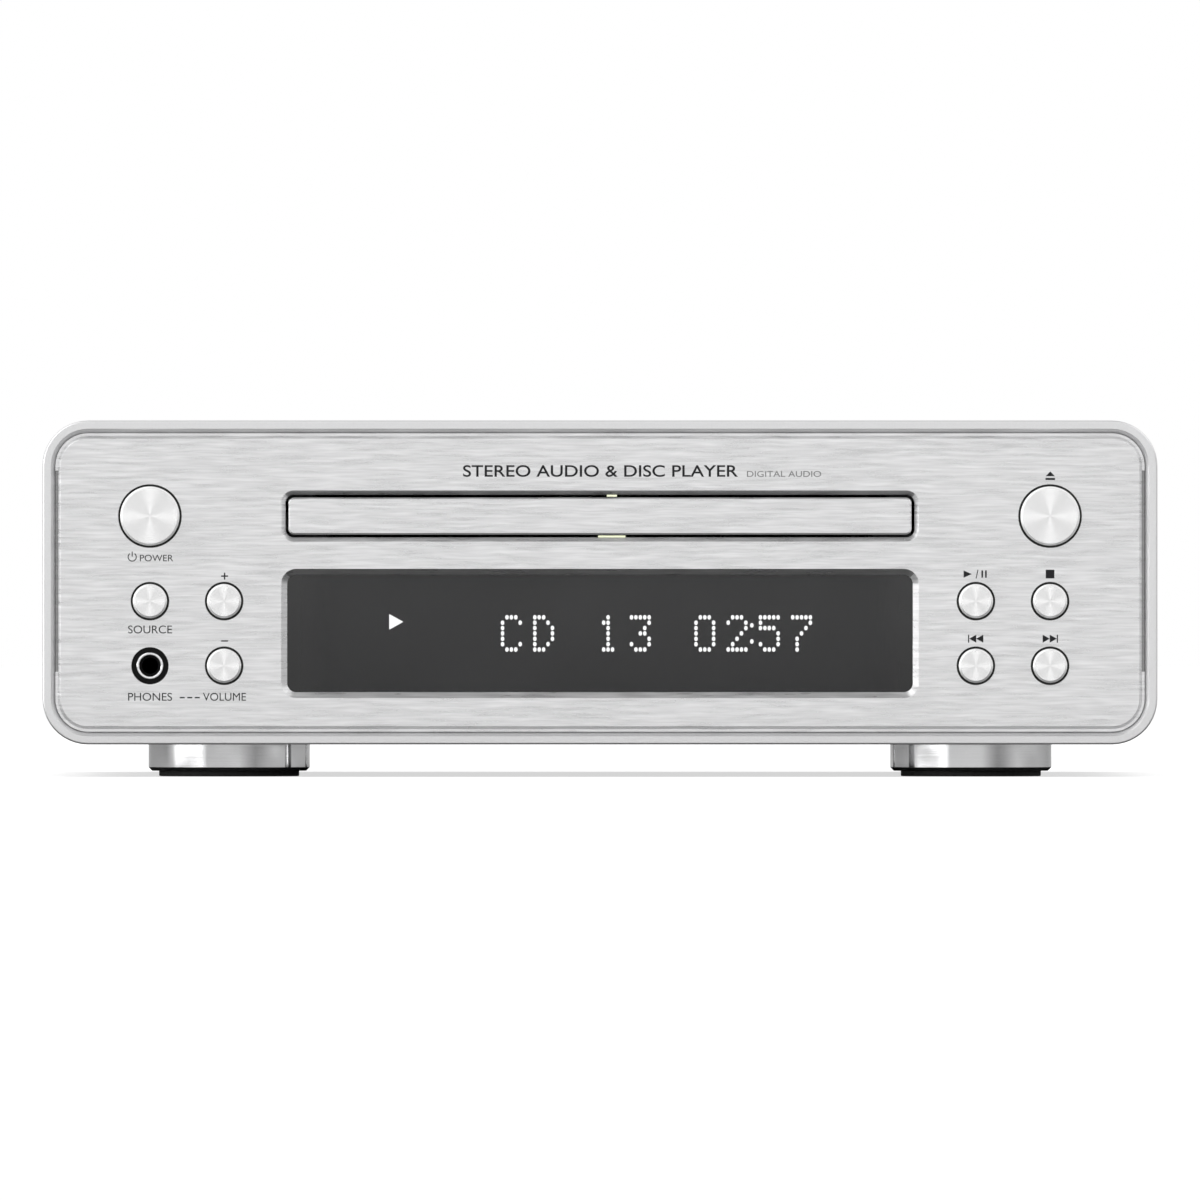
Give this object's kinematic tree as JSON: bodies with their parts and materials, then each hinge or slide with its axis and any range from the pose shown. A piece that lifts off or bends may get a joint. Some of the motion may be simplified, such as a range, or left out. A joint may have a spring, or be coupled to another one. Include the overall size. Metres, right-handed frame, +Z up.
{
  "type": "cd player",
  "caption": "Low rounded disc player: brushed front with a motor-driven disc drawer, smoked display window, round push buttons and headphone socket, on round metal feet.",
  "frame": {"origin": "on the surface that the player stands on, under the centre of its outline", "axes": "+X to the right seen from the front, +Y towards the back, +Z up; the front panel faces -Y"},
  "size_m": [0.245, 0.288, 0.0783],
  "materials": {
    "case_aluminium": "fine bead-blasted and anodised",
    "panel_aluminium": "brushed from side to side, anodised",
    "button_aluminium": "turned face, polished edge",
    "foot_aluminium": "polished, turned",
    "pad_rubber": "matt",
    "smoked_window": "gloss smoked acrylic",
    "display_black": "dark display glass",
    "lamp_cream": "translucent cream",
    "socket_black": "moulded",
    "socket_silver": "bright",
    "board_green": "solder mask",
    "part_black": "moulded",
    "tray_black": "fine spark-eroded",
    "loader_grey": "moulded",
    "gear_white": "moulded acetal",
    "belt_rubber": "smooth",
    "steel_plate": "zinc plated",
    "steel_bright": "ground",
    "screw_steel": "blackened",
    "back_panel_paint": "fine black powder coat",
    "brass_gold": "gold plated",
    "copper_winding": "varnished, taped",
    "capacitor_sleeve": "printed sleeve",
    "lens_clear": "coated"
  },
  "bodies": {
    "player": {"case_sleeve": "case_aluminium", "front_panel": "panel_aluminium", "back_panel": "back_panel_paint", "chassis_plate": "steel_plate", "foot_front_left": "foot_aluminium", "foot_front_right": "foot_aluminium", "foot_back_left": "foot_aluminium", "foot_back_right": "foot_aluminium", "foot_pads": "pad_rubber", "foot_bolts": "steel_bright", "machine_screws": "screw_steel", "display_window": "smoked_window", "display_module": "display_black", "drawer_lamps": "lamp_cream", "headphone_jack": "socket_black", "headphone_ring": "socket_silver", "front_board": "board_green", "board_spacers": "steel_bright", "tact_switches": "part_black", "mains_inlet": "socket_black", "mains_pins": "steel_bright", "line_jacks": "brass_gold", "line_jack_insulators": "part_black", "optical_socket": "socket_black", "usb_socket": "steel_bright", "main_board": "board_green", "main_board_parts": "part_black", "power_board": "board_green", "power_capacitors": "capacitor_sleeve", "power_transformer": "copper_winding", "transformer_clamp": "steel_plate", "loader_frame": "loader_grey", "loading_motor": "steel_bright", "drive_belt": "belt_rubber", "clamp_bridge": "steel_plate"},
    "drawer": {"disc_tray": "tray_black", "drawer_fascia": "panel_aluminium"},
    "drive_gear": {"drive_gear": "gear_white"},
    "pulley_gear": {"pulley_gear": "gear_white"},
    "motor_pulley": {"motor_pulley": "part_black"},
    "clamp": {"clamp_puck": "gear_white"},
    "cam": {"cam_slider": "gear_white"},
    "optical_unit": {"traverse_frame": "loader_grey", "guide_rods": "steel_bright", "spindle_motor": "steel_bright", "feed_motor": "steel_bright"},
    "turntable": {"turntable": "part_black"},
    "pickup": {"pickup_head": "part_black", "pickup_lens": "lens_clear"},
    "feed_screw": {"feed_screw": "steel_bright"},
    "button_power": {"button_power": "button_aluminium"},
    "button_eject": {"button_eject": "button_aluminium"},
    "button_source": {"button_source": "button_aluminium"},
    "button_volume_up": {"button_volume_up": "button_aluminium"},
    "button_volume_down": {"button_volume_down": "button_aluminium"},
    "button_play_pause": {"button_play_pause": "button_aluminium"},
    "button_stop": {"button_stop": "button_aluminium"},
    "button_previous": {"button_previous": "button_aluminium"},
    "button_next": {"button_next": "button_aluminium"}
  },
  "joints": [
    {"name": "drawer_slide", "type": "slide", "parent": "player", "child": "drawer", "axis": [0, -1, 0], "range_m": [0, 0.133]},
    {"name": "drive_gear_spin", "type": "hinge", "parent": "player", "child": "drive_gear", "pos_m": [-0.07705, -0.124, 0.056], "axis": [0, 0, 1], "range_deg": [-775, 5]},
    {"name": "pulley_gear_spin", "type": "hinge", "parent": "player", "child": "pulley_gear", "pos_m": [-0.08836, -0.11269, 0.058], "axis": [0, 0, 1], "range_deg": [-5, 1280]},
    {"name": "motor_pulley_spin", "type": "hinge", "parent": "player", "child": "motor_pulley", "pos_m": [-0.092, -0.084, 0.06], "axis": [0, 0, 1], "range_deg": [-10, 4060]},
    {"name": "optical_unit_tilt", "type": "hinge", "parent": "player", "child": "optical_unit", "pos_m": [0, 0.02, 0.046], "axis": [1, 0, 0], "range_deg": [0, 4]},
    {"name": "cam_slide", "type": "slide", "parent": "player", "child": "cam", "axis": [1, 0, 0], "range_m": [0, 0.01405]},
    {"name": "turntable_spin", "type": "hinge", "parent": "optical_unit", "child": "turntable", "pos_m": [0, -0.07, 0.0574], "axis": [0, 0, 1], "continuous": true},
    {"name": "clamp_spin", "type": "hinge", "parent": "player", "child": "clamp", "pos_m": [0, -0.07, 0.062], "axis": [0, 0, 1], "continuous": true},
    {"name": "pickup_feed", "type": "slide", "parent": "optical_unit", "child": "pickup", "axis": [0, 1, 0], "range_m": [-0.0135, 0.022]},
    {"name": "feed_screw_spin", "type": "hinge", "parent": "optical_unit", "child": "feed_screw", "pos_m": [0.0255, -0.02, 0.049], "axis": [0, 1, 0], "range_deg": [-1700, 2700]},
    {"name": "button_power_press", "type": "slide", "parent": "player", "child": "button_power", "axis": [0, 1, 0], "range_m": [0, 0.0008], "stiffness_N_per_m": 600, "springref_m": -0.0005},
    {"name": "button_eject_press", "type": "slide", "parent": "player", "child": "button_eject", "axis": [0, 1, 0], "range_m": [0, 0.0008], "stiffness_N_per_m": 600, "springref_m": -0.0005},
    {"name": "button_source_press", "type": "slide", "parent": "player", "child": "button_source", "axis": [0, 1, 0], "range_m": [0, 0.0008], "stiffness_N_per_m": 600, "springref_m": -0.0005},
    {"name": "button_volume_up_press", "type": "slide", "parent": "player", "child": "button_volume_up", "axis": [0, 1, 0], "range_m": [0, 0.0008], "stiffness_N_per_m": 600, "springref_m": -0.0005},
    {"name": "button_volume_down_press", "type": "slide", "parent": "player", "child": "button_volume_down", "axis": [0, 1, 0], "range_m": [0, 0.0008], "stiffness_N_per_m": 600, "springref_m": -0.0005},
    {"name": "button_play_pause_press", "type": "slide", "parent": "player", "child": "button_play_pause", "axis": [0, 1, 0], "range_m": [0, 0.0008], "stiffness_N_per_m": 600, "springref_m": -0.0005},
    {"name": "button_stop_press", "type": "slide", "parent": "player", "child": "button_stop", "axis": [0, 1, 0], "range_m": [0, 0.0008], "stiffness_N_per_m": 600, "springref_m": -0.0005},
    {"name": "button_previous_press", "type": "slide", "parent": "player", "child": "button_previous", "axis": [0, 1, 0], "range_m": [0, 0.0008], "stiffness_N_per_m": 600, "springref_m": -0.0005},
    {"name": "button_next_press", "type": "slide", "parent": "player", "child": "button_next", "axis": [0, 1, 0], "range_m": [0, 0.0008], "stiffness_N_per_m": 600, "springref_m": -0.0005}
  ],
  "couplings": [
    {"joint": "drive_gear_spin", "follows": "drawer_slide", "rad_per_m": -100},
    {"joint": "pulley_gear_spin", "follows": "drawer_slide", "rad_per_m": 166.67},
    {"joint": "motor_pulley_spin", "follows": "drawer_slide", "rad_per_m": 531.25},
    {"joint": "cam_slide", "follows": "optical_unit_tilt", "m_per_rad": 0.20053},
    {"joint": "clamp_spin", "follows": "turntable_spin", "ratio": 1},
    {"joint": "feed_screw_spin", "follows": "pickup_feed", "rad_per_m": 2094.4}
  ]
}
